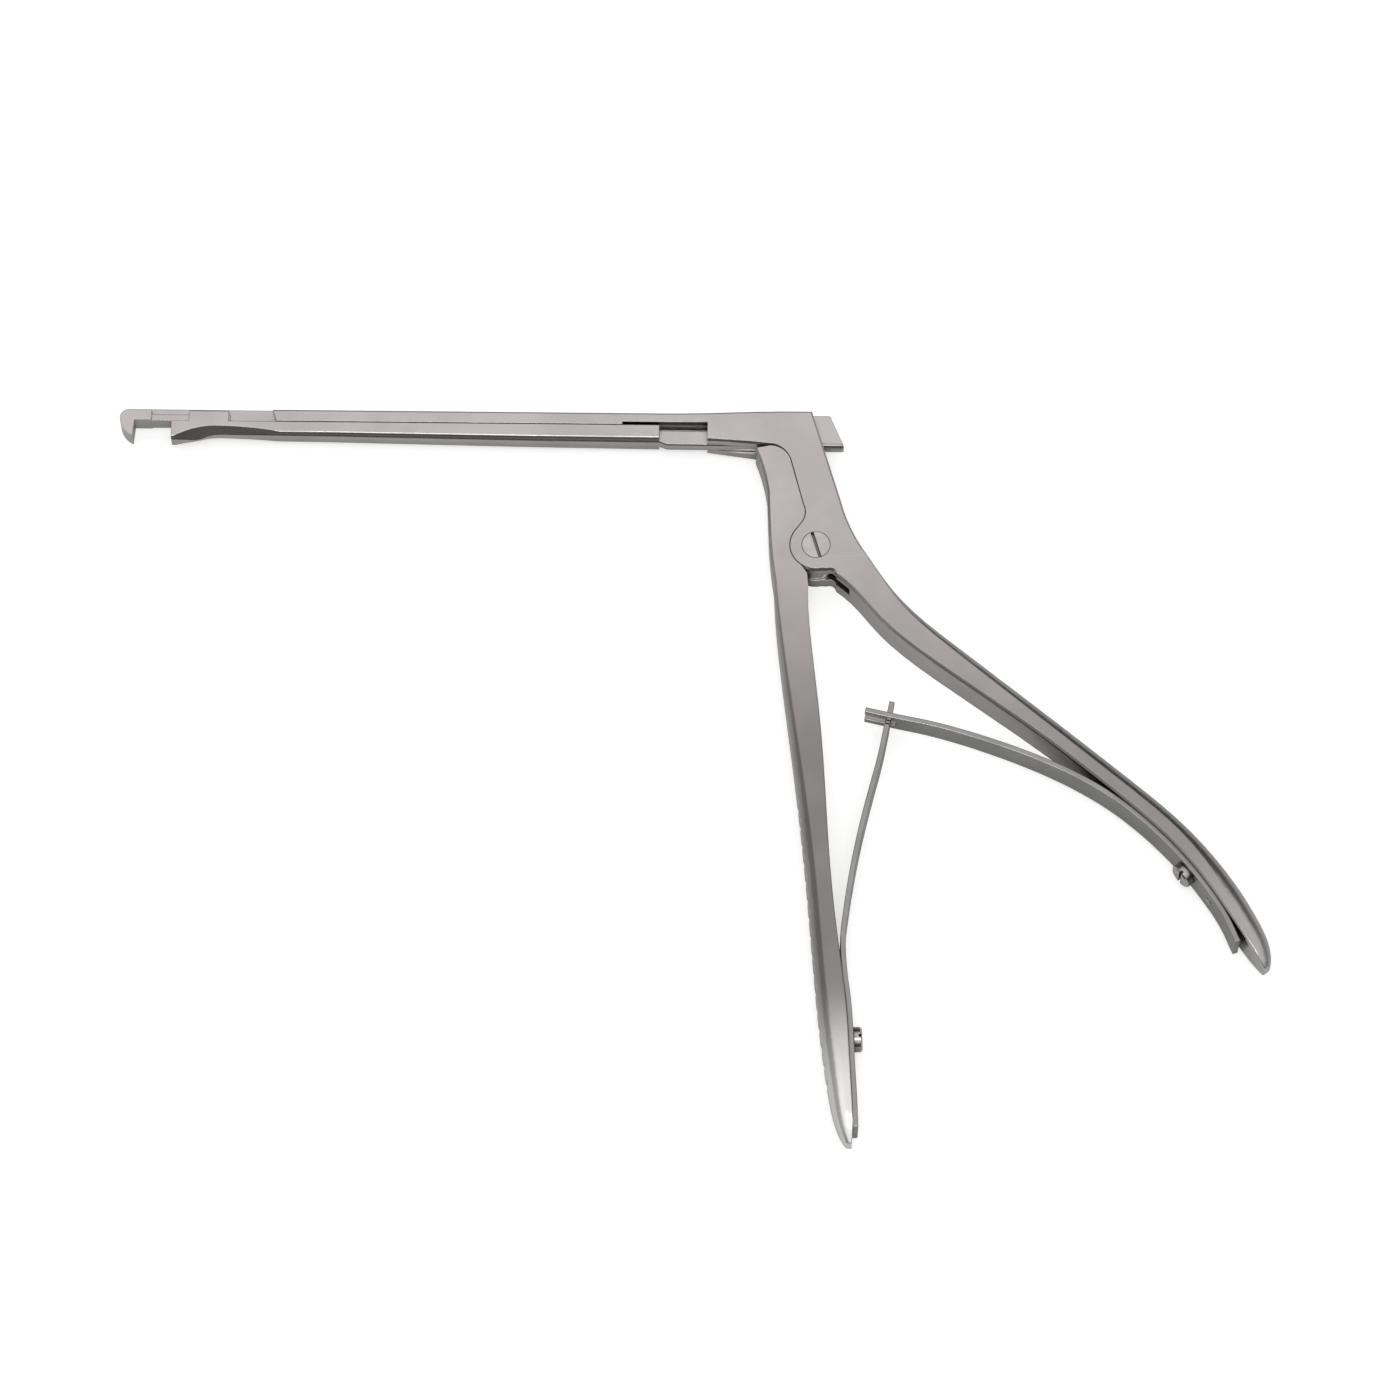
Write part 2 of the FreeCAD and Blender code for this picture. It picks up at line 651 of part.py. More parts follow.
# pivot screw's holes
journal_hole = disc_outline(new_sketch(frame, "journal_hole"), "0", "0", "screw_journal_radius + screw_clearance")
pocket(frame, "near_hole", journal_hole, "body_thickness", reversed_cut=True)
thread_hole = disc_outline(new_sketch(frame, "thread_hole"), "0", "0", "screw_thread_radius + screw_clearance")
pocket(frame, "far_hole", thread_hole, "body_thickness")
head_seat = disc_outline(new_sketch(frame, "head_seat"), "0", "0", "screw_head_radius + screw_clearance")
lift_sketch(head_seat, "body_thickness / 2 - screw_head_height")
pocket(frame, "head_seat_cut", head_seat, "body_thickness", reversed_cut=True)
seat_holes(frame, "rear")


# Slider: jaw, bar, lug over the narrow rail, key, rear bar and tail plate in one piece
slider = new_body("slider")
jaw_front = "-(jaw_reach - jaw_gap)"
jaw_flat_end = "-(jaw_reach - jaw_gap - head_length)"
waist_end = "-(jaw_reach - jaw_gap - head_length - waist_run)"
head_bottom = "seam_height - head_depth"
waist_bottom = "seam_height - waist_depth"
slide_top = "seam_height - seam_gap / 2"
curve_along = 0.26    # place of a quarter point on an S of two equal arcs
curve_up = 0.127


def bend_place(share):
    # a share of the way from the waist's end to the shoulder
    return "%s * (1 - %s) - shoulder_reach * %s" % (waist_end, share, share)


bar = outline(
    new_sketch(slider, "bar_profile"),
    (jaw_front, slide_top),
    (jaw_front, head_bottom),
    (jaw_flat_end, head_bottom),
    ((jaw_flat_end + " + waist_run * %s" % curve_along,
      head_bottom + " + (head_depth - waist_depth) * %s" % curve_up),
     (jaw_flat_end + " + waist_run / 2", head_bottom + " + (head_depth - waist_depth) / 2")),
    ((waist_end + " - waist_run * %s" % curve_along,
      waist_bottom + " - (head_depth - waist_depth) * %s" % curve_up),
     (waist_end, waist_bottom)),
    (bend_place("front_bend_share"), "seam_height - front_bend_depth"),
    (bend_place("rear_bend_share"), "seam_height - rear_bend_depth"),
    ("-shoulder_reach", bar_bottom),
    ("-shoulder_reach", slide_top),
    (jaw_front, slide_top))
pad(slider, "bar", bar, stock_thickness)
lug = box_outline(new_sketch(slider, "lug_profile"),
                  "-" + lug_start, "seam_height - cut_margin", "-" + lug_end, "seam_height + lug_height")
pad(slider, "lug", lug, stock_thickness)
cut_sides(slider, "flank", "jaw_reach + cut_margin")
fillet(slider, "bar_edges", "bar_edge_round",
       lambda edge: middle(edge).y < value(waist_bottom) + 0.01 and edge.Length > 2.5
       and abs(middle(edge).z) > 1.9 and abs(edge.tangentAt(edge.FirstParameter).x) > 0.5)
hollow_place = jaw_front + " + hollow_setback"
corner_height = "((%s) - (%s)) / sqrt(2) - hollow_bite" % (half_thickness("-(%s)" % hollow_place), waist_bottom)
for corner, turn in (("near", 45), ("far", 135)):
    hollow_sketch = corner_sketch(slider, "hollow_" + corner, turn)
    front_end = (hollow_place + " - hollow_front_run", corner_height + " + hollow_front_rise")
    rear_end = (hollow_place + " + hollow_rear_run", corner_height + " + hollow_rear_rise")
    outline(hollow_sketch, front_end,
            ((hollow_place + " - hollow_front_run / 2", corner_height + " + hollow_front_rise / 4"),
             (hollow_place, corner_height)),
            ((hollow_place + " + hollow_rear_run / 2", corner_height + " + hollow_rear_rise / 4"), rear_end),
            (rear_end[0], front_end[1] + " + cut_margin"),
            (front_end[0], front_end[1] + " + cut_margin"),
            front_end)
    pocket(slider, "hollow_%s_cut" % corner, hollow_sketch)
fillet(slider, "lug_edges", "bar_edge_round",
       lambda edge: abs(middle(edge).y - value("seam_height + lug_height")) < 0.01
       and abs(middle(edge).z) > 1.9)
foot_slot = box_outline(new_sketch(slider, "foot_slot_profile"),
                        "-%s - cut_margin" % lug_start, slide_top, "-%s + cut_margin" % lug_end,
                        "seam_height + foot_height + slide_clearance")
pocket(slider, "foot_slot", foot_slot, "both foot_thickness + 2 * slide_clearance")
stem_slot = box_outline(new_sketch(slider, "stem_slot_profile"),
                        "-%s - cut_margin" % lug_start, "seam_height + foot_height - slide_clearance",
                        "-%s + cut_margin" % lug_end, "seam_height + lug_height + cut_margin")
pocket(slider, "stem_slot", stem_slot, "both stem_thickness + 2 * slide_clearance")

key_stem = box_outline(new_sketch(slider, "key_stem_profile"),
                       "-key_start", "seam_height - 0.5", "-key_start + key_length",
                       "seam_height + key_stem_height + key_head_height")
pad(slider, "key_stem", key_stem, "key_stem_thickness")
key_head = box_outline(new_sketch(slider, "key_head_profile"),
                       "-key_start", "seam_height + key_stem_height", "-key_start + key_length",
                       "seam_height + key_stem_height + key_head_height")
pad(slider, "key_head", key_head, "key_head_thickness")

plate_top = "seam_height + rail_height + plate_rise"
plate = outline(
    new_sketch(slider, "plate_profile"),
    ("-shoulder_reach - cut_margin", rear_bar_top),
    ("-shoulder_reach - cut_margin", bar_bottom + " + 0.3"),
    ("-shoulder_reach", bar_bottom),
    ("-shoulder_reach + 1.6", rear_bar_bottom),
    ("tail_bottom_x", rear_bar_bottom),
    ("tail_top_x + tail_round * 0.4", plate_top + " - tail_round"),
    (("tail_top_x", plate_top + " - tail_round * 0.2"), ("tail_top_x - tail_round", plate_top)),
    ("-plate_reach", plate_top),
    ("-plate_reach", rear_bar_top),
    ("-shoulder_reach - cut_margin", rear_bar_top))
pad(slider, "plate", plate, "rear_bar_thickness")
rear_half = "(rear_bar_thickness / 2)"
hollow = "(rear_bar_thickness / 2 + shoulder_round)"
hollow_mid = ("-shoulder_reach + shoulder_round * (1 - sqrt(0.5))", hollow + " - shoulder_round * sqrt(0.5)")
shoulder = outline(
    new_sketch(slider, "shoulder_profile", "XZ_Plane"),
    ("-shoulder_reach - cut_margin", "-" + hollow),
    ("-shoulder_reach", "-" + hollow),
    ((hollow_mid[0], "-(%s)" % hollow_mid[1]), ("-shoulder_reach + shoulder_round", "-" + rear_half)),
    ("-shoulder_reach + shoulder_round", rear_half),
    (hollow_mid, ("-shoulder_reach", hollow)),
    ("-shoulder_reach - cut_margin", hollow),
    ("-shoulder_reach - cut_margin", "-" + hollow))
lift_sketch(shoulder, "-(%s + %s) / 2" % (rear_bar_top, bar_bottom))
pad(slider, "shoulder", shoulder, "%s - (%s)" % (rear_bar_top, bar_bottom))
tail_rib = box_outline(new_sketch(slider, "rib_profile"),
                       "-tooth_offset + tooth_radius + 3 * tooth_clearance", rear_bar_bottom,
                       "tail_bottom_x - 0.3", rear_bar_bottom + " + tail_rib_height")
pad(slider, "tail_rib", tail_rib, "tail_rib_thickness")
notch_half = "(tooth_radius + tooth_clearance)"
notch = outline(
    new_sketch(slider, "notch_profile"),
    ("-tooth_offset - " + notch_half, rear_bar_bottom + " - cut_margin"),
    ("-tooth_offset + " + notch_half, rear_bar_bottom + " - cut_margin"),
    ("-tooth_offset + " + notch_half, "tooth_height"),
    (("-tooth_offset", "tooth_height + " + notch_half), ("-tooth_offset - " + notch_half, "tooth_height")),
    ("-tooth_offset - " + notch_half, rear_bar_bottom + " - cut_margin"))
pocket(slider, "tooth_notch", notch)


# Front handle: lobe beside the body, grip, and inside the slot the web with the drive tooth
front_handle = new_body("front_handle")
seat_x = "(boss_radius + seam_gap) * cos(%s)"
seat_y = "(boss_radius + seam_gap) * sin(%s)"
seat_end = 236.0
front_back, front_lap_back, front_lap_face, front_face = root_lap("front")
lobe_top = body_heel + " - lobe_top_gap"
lobe = outline(
    new_sketch(front_handle, "lobe_profile"),
    ("lobe_corner_x", lobe_top + " - 0.5"),
    ("seam_corner_x - lobe_top_gap", lobe_top),
    (("seam_bend_x - 1.45 - seam_gap", "seam_bend_y + 2.7 - seam_gap"),
     ("seam_bend_x - seam_gap", "seam_bend_y - seam_gap / 2")),
    ("seam_heel_x - seam_gap", "seam_heel_y"),
    (("seam_hollow_x - seam_gap", "seam_hollow_y"), ("seam_toe_x - seam_gap", "seam_toe_y")),
    (seat_x % boss_start, seat_y % boss_start),
    (("-(boss_radius + seam_gap)", "0"), (seat_x % seat_end, seat_y % seat_end)),
    ("front_x_of_station_0 - 0.25", "front_y_of_station_0 + 2.3"),
    front_face,
    front_lap_face,
    front_lap_back,
    front_back,
    (("(front_x_of_station_0 - front_depth_of_station_0 + lobe_flank_x) / 2 - 0.15",
      "(front_y_of_station_0 + lobe_flank_y) / 2"),
     ("lobe_flank_x", "lobe_flank_y")),
    ("lobe_waist_x", "lobe_waist_y"),
    (("(lobe_waist_x + lobe_corner_x) / 2 + 0.2", "(lobe_waist_y + seam_height) / 2 - 2.3"),
     ("lobe_corner_x", lobe_top + " - 0.5")))
pad(front_handle, "lobe", lobe, stock_thickness)
fillet(front_handle, "lobe_edges", "lobe_edge_round",
       lambda edge: abs(middle(edge).z) > 4.6 and middle(edge).x < value("lobe_flank_x") + 1.2
       and edge.Length > 4)
handle_loft(front_handle, "front")
cut_sides(front_handle, "flank", "flare_start + cut_margin")
grip_grooves(front_handle, "front")

shoulder_y = "tooth_height - neck_length"
web = outline(
    new_sketch(front_handle, "web_profile"),
    ("web_root_x", "lobe_waist_y + 4"),
    ("-tooth_offset - web_front", shoulder_y),
    ("-tooth_offset + web_rear", shoulder_y),
    ("web_radius * cos(14)", "web_radius * sin(14)"),
    (("web_radius * cos(-90)", "web_radius * sin(-90)"), ("web_radius * cos(200)", "web_radius * sin(200)")),
    ("web_root_x", "web_radius * sin(200) - cut_margin"),
    ("web_root_x", "lobe_waist_y + 4"))
pad(front_handle, "web", web, "web_thickness")
lean = "neck_lean"
across = ("neck_half_width * cos(%s)" % lean, "neck_half_width * sin(%s)" % lean)
down = ("(neck_length + 1) * sin(%s)" % lean, "(neck_length + 1) * cos(%s)" % lean)
neck = outline(
    new_sketch(front_handle, "neck_profile"),
    ("-tooth_offset - " + across[0], "tooth_height + " + across[1]),
    ("-tooth_offset - %s - %s" % (across[0], down[0]), "tooth_height + %s - %s" % (across[1], down[1])),
    ("-tooth_offset + %s - %s" % (across[0], down[0]), "tooth_height - %s - %s" % (across[1], down[1])),
    ("-tooth_offset + " + across[0], "tooth_height - " + across[1]),
    ("-tooth_offset - " + across[0], "tooth_height + " + across[1]))
pad(front_handle, "neck", neck, "web_thickness")
tooth = disc_outline(new_sketch(front_handle, "tooth_profile"), "-tooth_offset", "tooth_height", "tooth_radius")
pad(front_handle, "tooth", tooth, "web_thickness")
pivot_hole = disc_outline(new_sketch(front_handle, "pivot_hole"), "0", "0",
                          "screw_journal_radius + screw_clearance")
pocket(front_handle, "pivot_hole_cut", pivot_hole)
seat_holes(front_handle, "front")


# Pivot screw, flush in both cheeks
pivot_screw = new_body("pivot_screw")
screw_side = outline(
    new_sketch(pivot_screw, "side_profile_of_screw", "XZ_Plane"),
    ("0", "body_thickness / 2"),
    ("0", "-body_thickness / 2"),
    ("screw_thread_radius", "-body_thickness / 2"),
    ("screw_thread_radius", "-slot_thickness / 2"),
    ("screw_journal_radius", "-slot_thickness / 2"),
    ("screw_journal_radius", "body_thickness / 2 - screw_head_height"),
    ("screw_head_radius", "body_thickness / 2 - screw_head_height"),
    ("screw_head_radius", "body_thickness / 2"),
    ("0", "body_thickness / 2"))
revolve(pivot_screw, "turned_screw", screw_side)
screw_slot = box_outline(new_sketch(pivot_screw, "driver_slot"),
                         "-screw_head_radius - cut_margin", "-screw_slot_width / 2",
                         "screw_head_radius + cut_margin", "screw_slot_width / 2")
lift_sketch(screw_slot, "body_thickness / 2", "screw_slot_angle")
pocket(pivot_screw, "driver_slot_cut", screw_slot, "both 2 * screw_slot_depth")


seat_points = 9    # of a leaf's centreline along its handle


def leaf(label, handle):
    # bent strip: seated along the handle's face, then free to its fork or tongue
    body = new_body(label)
    lift = value("leaf_thickness / 2 + leaf_seat_gap")
    seat_start, seat_end = value(handle + "_seat_start"), value(handle + "_seat_end")
    seated = []
    for step in range(seat_points):
        distance = seat_end + (seat_start - seat_end) * step / (seat_points - 1)
        point, heading, outward = place_along(handle, distance)
        seated.append(point - outward * lift)
    free = [vector(("%s_leaf_x_at_%d" % (handle, index), "%s_leaf_y_at_%d" % (handle, index)))
            for index in range(len(leaves[handle]))]
    heel = [vector(("%s_heel_x_at_%d" % (handle, index), "%s_heel_y_at_%d" % (handle, index)))
            for index in range(len(leaf_heels[handle]))]
    points = heel + seated + free
    spine = new_sketch(body, label + "_centreline")
    curve = Part.BSplineCurve()
    curve.interpolate(points)
    sketched = spine.addGeometry(curve, False)
    spine.addConstraint(Sketcher.Constraint("Block", sketched))
    start = curve.tangent(curve.FirstParameter)[0]
    strip = new_sketch(body, label + "_strip", "XZ_Plane")
    strip.AttachmentOffset = FreeCAD.Placement(
        FreeCAD.Vector(points[0].x, 0, -points[0].y),
        FreeCAD.Rotation(FreeCAD.Vector(0, 1, 0), math.degrees(math.atan2(start.y, start.x)) + 90))
    box_outline(strip, "-leaf_thickness / 2", "-leaf_width / 2", "leaf_thickness / 2", "leaf_width / 2")
    pipe = body.newObject("PartDesign::AdditivePipe", label + "_blank")
    pipe.Profile = strip
    pipe.Spine = (spine, ["Edge1"])
    doc.recompute()
    seat_hole(body, handle, "screw", "spring_screw_radius", "2 * leaf_thickness")
    seat_hole(body, handle, "pin", "pin_radius", "2 * leaf_thickness")
    return body


def trim_edges(body, name, role, end, wide_at, end_half, wide_half):
    # straight cuts that narrow both edges of a leaf towards its end
    for side, sign in (("near", ""), ("far", "-")):
        sketch = new_sketch(body, "%s_%s" % (name, side), role)
        outline(sketch,
                (end, sign + end_half), (wide_at, sign + wide_half),
                (wide_at, sign + "leaf_width"), (end, sign + "leaf_width"), (end, sign + end_half))
        pocket(body, "%s_%s_cut" % (name, side), sketch)


# Rear spring: leaf on the rear handle with an open fork at its free end
rear_spring = leaf("rear_spring", "rear")
rear_end = "rear_leaf_x_at_%d" % (len(leaves["rear"]) - 1)
trim_edges(rear_spring, "taper", "XZ_Plane", rear_end + " - 3", "rear_leaf_x_at_0",
           "leaf_end_width / 2", "leaf_width / 2")
fork_floor = rear_end + " + fork_slot_length - fork_slot_width / 2"
fork = outline(
    new_sketch(rear_spring, "fork_profile", "XZ_Plane"),
    (rear_end + " - 3", "-fork_slot_width / 2"),
    (fork_floor, "-fork_slot_width / 2"),
    ((rear_end + " + fork_slot_length", "0"), (fork_floor, "fork_slot_width / 2")),
    (rear_end + " - 3", "fork_slot_width / 2"),
    (rear_end + " - 3", "-fork_slot_width / 2"))
pocket(rear_spring, "fork", fork)

# Front spring: leaf on the front handle whose narrow tongue passes through the fork
front_spring = leaf("front_spring", "front")
front_end = "front_leaf_y_at_%d" % (len(leaves["front"]) - 1)
trim_edges(front_spring, "taper", "YZ_Plane", front_end + " + 3", "front_leaf_y_at_0",
           "leaf_end_width / 2", "leaf_width / 2")
trim_edges(front_spring, "tongue", "YZ_Plane", front_end + " + 3", front_end + " - tongue_length",
           "tongue_width / 2", "tongue_width / 2")


def seated_body(label, handle, fastener):
    # body whose origin lies on the handle's face, +Y pointing out of the handle
    body = doc.addObject("PartDesign::Body", label)
    body.Label = label
    point, heading, outward = place_along(handle, value("%s_%s_along" % (handle, fastener)))
    turn = math.degrees(math.atan2(-outward.y, -outward.x)) - 90
    body.Placement = FreeCAD.Placement(
        point + FreeCAD.Vector(0, 0, value("body_thickness / 2")),
        FreeCAD.Rotation(FreeCAD.Vector(0, 0, 1), turn))
    return body


def spring_screw(label, handle):
    body = seated_body(label, handle, "screw")
    under_head = "leaf_thickness + leaf_seat_gap + spring_head_gap"
    side_view = outline(
        new_sketch(body, label + "_side"),
        ("0", "-spring_screw_depth"),
        ("spring_screw_radius", "-spring_screw_depth"),
        ("spring_screw_radius", under_head),
        ("spring_head_radius", under_head),
        ("spring_head_radius", under_head + " + spring_head_height - spring_head_bevel"),
        ("spring_head_radius - spring_head_bevel", under_head + " + spring_head_height"),
        ("0", under_head + " + spring_head_height"),
        ("0", "-spring_screw_depth"))
    revolve(body, label + "_turned", side_view)
    slot_cut = box_outline(new_sketch(body, label + "_slot"),
                           "-spring_slot_width / 2", under_head + " + spring_head_height - spring_slot_depth",
                           "spring_slot_width / 2", under_head + " + spring_head_height + cut_margin")
    pocket(body, label + "_slot_cut", slot_cut)
    return body


def spring_pin(label, handle):
    body = seated_body(label, handle, "pin")
    side_view = box_outline(new_sketch(body, label + "_side"), "0", "-pin_depth", "pin_radius",
                            "leaf_thickness + leaf_seat_gap + pin_rise")
    revolve(body, label + "_turned", side_view)
    return body


front_spring_screw = spring_screw("front_spring_screw", "front")
rear_spring_screw = spring_screw("rear_spring_screw", "rear")
front_spring_pin = spring_pin("front_spring_pin", "front")
rear_spring_pin = spring_pin("rear_spring_pin", "rear")


def export(bodies):
    os.makedirs("parts", exist_ok=True)
    doc.recompute()
    for item in doc.Objects:
        if "Invalid" in item.State or "Error" in item.State:
            raise RuntimeError("%s failed: %s" % (item.Name, item.State))
    for body in bodies:
        if body.Shape.isNull() or not body.Shape.isValid() or len(body.Shape.Solids) != 1:
            raise RuntimeError(body.Label + " is not one valid solid")
    for body in bodies:
        body.Shape.exportStep("parts/%s.step" % body.Label)
        print(body.Label, round(body.Shape.Volume, 2))


export([frame, front_handle, slider, pivot_screw, front_spring, rear_spring,
        front_spring_screw, rear_spring_screw, front_spring_pin, rear_spring_pin])
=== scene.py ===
import math
import bpy
from mathutils import Matrix, Vector


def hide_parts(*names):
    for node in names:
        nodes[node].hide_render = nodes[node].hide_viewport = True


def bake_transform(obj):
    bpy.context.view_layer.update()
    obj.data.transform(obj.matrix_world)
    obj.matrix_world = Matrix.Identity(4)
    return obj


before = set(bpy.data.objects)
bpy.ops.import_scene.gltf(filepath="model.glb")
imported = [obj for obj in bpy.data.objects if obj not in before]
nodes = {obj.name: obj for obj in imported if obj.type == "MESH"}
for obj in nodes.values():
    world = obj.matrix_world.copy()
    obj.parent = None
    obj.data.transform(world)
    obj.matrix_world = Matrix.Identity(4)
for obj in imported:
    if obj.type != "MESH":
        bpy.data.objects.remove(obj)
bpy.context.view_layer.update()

mm = 0.001
midPlane = 4.7    # half the body's thickness, in mm


def addObject(name, data):
    thing = bpy.data.objects.new(name, data)
    bpy.context.scene.collection.objects.link(thing)
    return thing


# camera: the photograph's angle, a little off straight above, looking along the pivot
cameraLook = {"tilt": 22.7, "turn": 0.8, "distance": 1.3, "target": (-22.90, -32.28, midPlane),
              "lens": 167.14, "nearest": 0.01, "farthest": 20.0}


def placeCamera(look):
    tilt, turn = math.radians(look["tilt"]), math.radians(look["turn"])
    away = Vector((math.sin(tilt) * math.sin(turn), -math.sin(tilt) * math.cos(turn), math.cos(tilt)))
    right = Vector((math.cos(turn), math.sin(turn), 0.0))
    data = bpy.data.cameras.new("photoCamera")
    data.lens = look["lens"]
    data.clip_start, data.clip_end = look["nearest"], look["farthest"]
    camera = addObject("photoCamera", data)
    stand = Matrix((right, away.cross(right), away)).transposed().to_4x4()
    stand.translation = Vector(look["target"]) * mm + away * look["distance"]
    camera.matrix_world = stand
    bpy.context.scene.camera = camera


placeCamera(cameraLook)
bpy.context.scene.view_settings.view_transform = "Standard"    # whites stay white
print("camera placed")


# helpers for node trees
def feed(tree, socket, item):
    # a number or tuple sets the socket, an output is linked to it
    if isinstance(item, tuple):
        socket.default_value = (*item, 1.0) if socket.type == "RGBA" else item
    elif isinstance(item, (int, float)):
        socket.default_value = item
    elif item is not None:
        tree.links.new(item, socket)


def addNode(tree, kind, **settings):
    node = tree.nodes.new(kind)
    for name, setting in settings.items():
        setattr(node, name, setting)
    return node


def addMath(tree, operation, first, second=None, third=None, clamp=False):
    node = addNode(tree, "ShaderNodeMath", operation=operation, use_clamp=clamp)
    for socket, item in zip(node.inputs, (first, second, third)):
        feed(tree, socket, item)
    return node.outputs[0]


def addVectorMath(tree, operation, first, second=None, scale=None):
    node = addNode(tree, "ShaderNodeVectorMath", operation=operation)
    feed(tree, node.inputs[0], first)
    feed(tree, node.inputs[1], second)
    if scale is not None:
        feed(tree, node.inputs["Scale"], scale)
    return node.outputs["Value" if operation == "DISTANCE" else "Vector"]


def addNoise(tree, place, scale, detail=2.0, roughness=0.5):
    node = addNode(tree, "ShaderNodeTexNoise")
    for label, item in (("Vector", place), ("Scale", scale), ("Detail", detail), ("Roughness", roughness)):
        feed(tree, node.inputs[label], item)
    return node.outputs[0]


def addRamp(tree, value, start, end, low=0.0, high=1.0):
    node = addNode(tree, "ShaderNodeMapRange", interpolation_type="SMOOTHSTEP")
    for socket, item in zip(node.inputs[:5], (value, start, end, low, high)):
        feed(tree, socket, item)
    return node.outputs[0]


def addBlend(tree, share, first, second, kind="MIX"):
    node = addNode(tree, "ShaderNodeMix", data_type="RGBA", blend_type=kind)
    for socket, item in zip((node.inputs[0], node.inputs[6], node.inputs[7]), (share, first, second)):
        feed(tree, socket, item)
    return node.outputs[2]


def splitVector(tree, vector):
    node = addNode(tree, "ShaderNodeSeparateXYZ")
    tree.links.new(vector, node.inputs[0])
    return node.outputs["X"], node.outputs["Y"], node.outputs["Z"]


def joinVector(tree, x=None, y=None, z=None):
    node = addNode(tree, "ShaderNodeCombineXYZ")
    for socket, item in zip(node.inputs, (x, y, z)):
        feed(tree, socket, item)
    return node.outputs[0]


def addSockets(tree, given, results):
    for side, sockets in (("INPUT", given), ("OUTPUT", results)):
        for label, kind in sockets.items():
            tree.interface.new_socket(name=label, in_out=side, socket_type="NodeSocket" + kind)
    return tree.nodes.new("NodeGroupInput").outputs, tree.nodes.new("NodeGroupOutput").inputs


def objectPlace(tree):
    return addNode(tree, "ShaderNodeTexCoord").outputs["Object"]


def distanceTo(tree, place, point):
    return addVectorMath(tree, "DISTANCE", place, tuple(part * mm for part in point))


# light: a pale ceiling over a darker horizon, as in a light tent with open sides, and a soft lamp
surroundings = {
    "tint": (1.0, 0.995, 0.99),
    "strength": 1.0,
    # height and brightness, from the horizon up
    "bands": [(0.0, 0.1), (0.25, 0.08), (0.45, 0.12), (0.8, 0.95), (0.92, 1.0), (1.0, 0.9)],
    "sides": 0.3, "sideStart": 0.5, "sideEnd": 0.95,
}
overheadLamp = {"place": (0.0, -0.45, 1.4), "aim": (0.0, -0.03, 0.0), "size": (0.9, 0.35), "power": 4.0}
floorLook = {"colour": (0.66, 0.68, 0.66), "size": 3.0, "roughness": 0.9, "shine": 0.1, "depth": 0.02,
             "glow": 0.6}    # the glow washes it out to white in the picture alone


def lightSurroundings(look):
    world = bpy.data.worlds.new("lightTent")
    world.use_nodes = True
    tree = world.node_tree
    background = tree.nodes["Background"]
    x, y, z = splitVector(tree, addNode(tree, "ShaderNodeTexCoord").outputs["Generated"])
    ramp = addNode(tree, "ShaderNodeValToRGB")
    ramp.color_ramp.interpolation = "EASE"
    stops = ramp.color_ramp.elements
    while len(stops) < len(look["bands"]):
        stops.new(0.5)
    for stop, (height, bright) in zip(stops, look["bands"]):
        stop.position = height
        stop.color = tuple(part * bright for part in look["tint"]) + (1.0,)
    tree.links.new(z, ramp.inputs["Fac"])
    aside = addMath(tree, "ABSOLUTE", x)
    panel = addRamp(tree, aside, look["sideStart"], look["sideEnd"], 0.0, look["sides"])
    feed(tree, background.inputs["Color"], addBlend(tree, 1.0, ramp.outputs["Color"], panel, "ADD"))
    feed(tree, background.inputs["Strength"], look["strength"])
    bpy.context.scene.world = world


def placeLamp(name, look):
    data = bpy.data.lights.new(name, "AREA")
    data.shape = "RECTANGLE"
    data.size, data.size_y = look["size"]
    data.energy = look["power"]
    lamp = addObject(name, data)
    lamp.location = look["place"]
    lamp.rotation_euler = (Vector(look["aim"]) - Vector(look["place"])).to_track_quat("-Z", "Y").to_euler()


def makeFloor(look):
    half = look["size"] / 2
    low = -look["depth"] * mm
    mesh = bpy.data.meshes.new("floor")
    mesh.from_pydata([(-half, -half, low), (half, -half, low), (half, half, low), (-half, half, low)],
                     [], [(0, 1, 2, 3)])
    floor = addObject("floor", mesh)
    paint = bpy.data.materials.new("paleFloor")
    paint.use_nodes = True
    tree = paint.node_tree
    shader = tree.nodes["Principled BSDF"]
    seen = addNode(tree, "ShaderNodeLightPath").outputs["Is Camera Ray"]
    for label, item in (("Base Color", look["colour"]), ("Roughness", look["roughness"]),
                        ("Specular IOR Level", look["shine"]), ("Emission Color", (1.0, 1.0, 1.0)),
                        ("Emission Strength", addMath(tree, "MULTIPLY", seen, look["glow"]))):
        feed(tree, shader.inputs[label], item)
    mesh.materials.append(paint)


lightSurroundings(surroundings)
placeLamp("overhead", overheadLamp)
makeFloor(floorLook)
print("light and floor placed")


def useGroup(tree, group, values):
    node = addNode(tree, "ShaderNodeGroup", node_tree=group)
    for label, item in values.items():
        feed(tree, node.inputs[label], item)
    return node.outputs


# fine lines left by the polishing belt along one direction, soft smudges and small specks
grain = {"stretch": 0.02, "lineDetail": 3.0, "lineRoughness": 0.6, "smudgeDetail": 4.0,
         "speckDensity": 2600.0, "scratchDensity": 1500.0, "scratchStart": 0.68, "scratchEnd": 0.74}
# dirt and painted shade that gather in slots, seams and inner corners, darkening the colour where ambient
# occlusion is high
corners = {"closed": 0.2, "samples": 6}
# side faces curve over towards the near face, as ground steel does
curving = {"steepest": 1.05, "levelShare": 1.6}


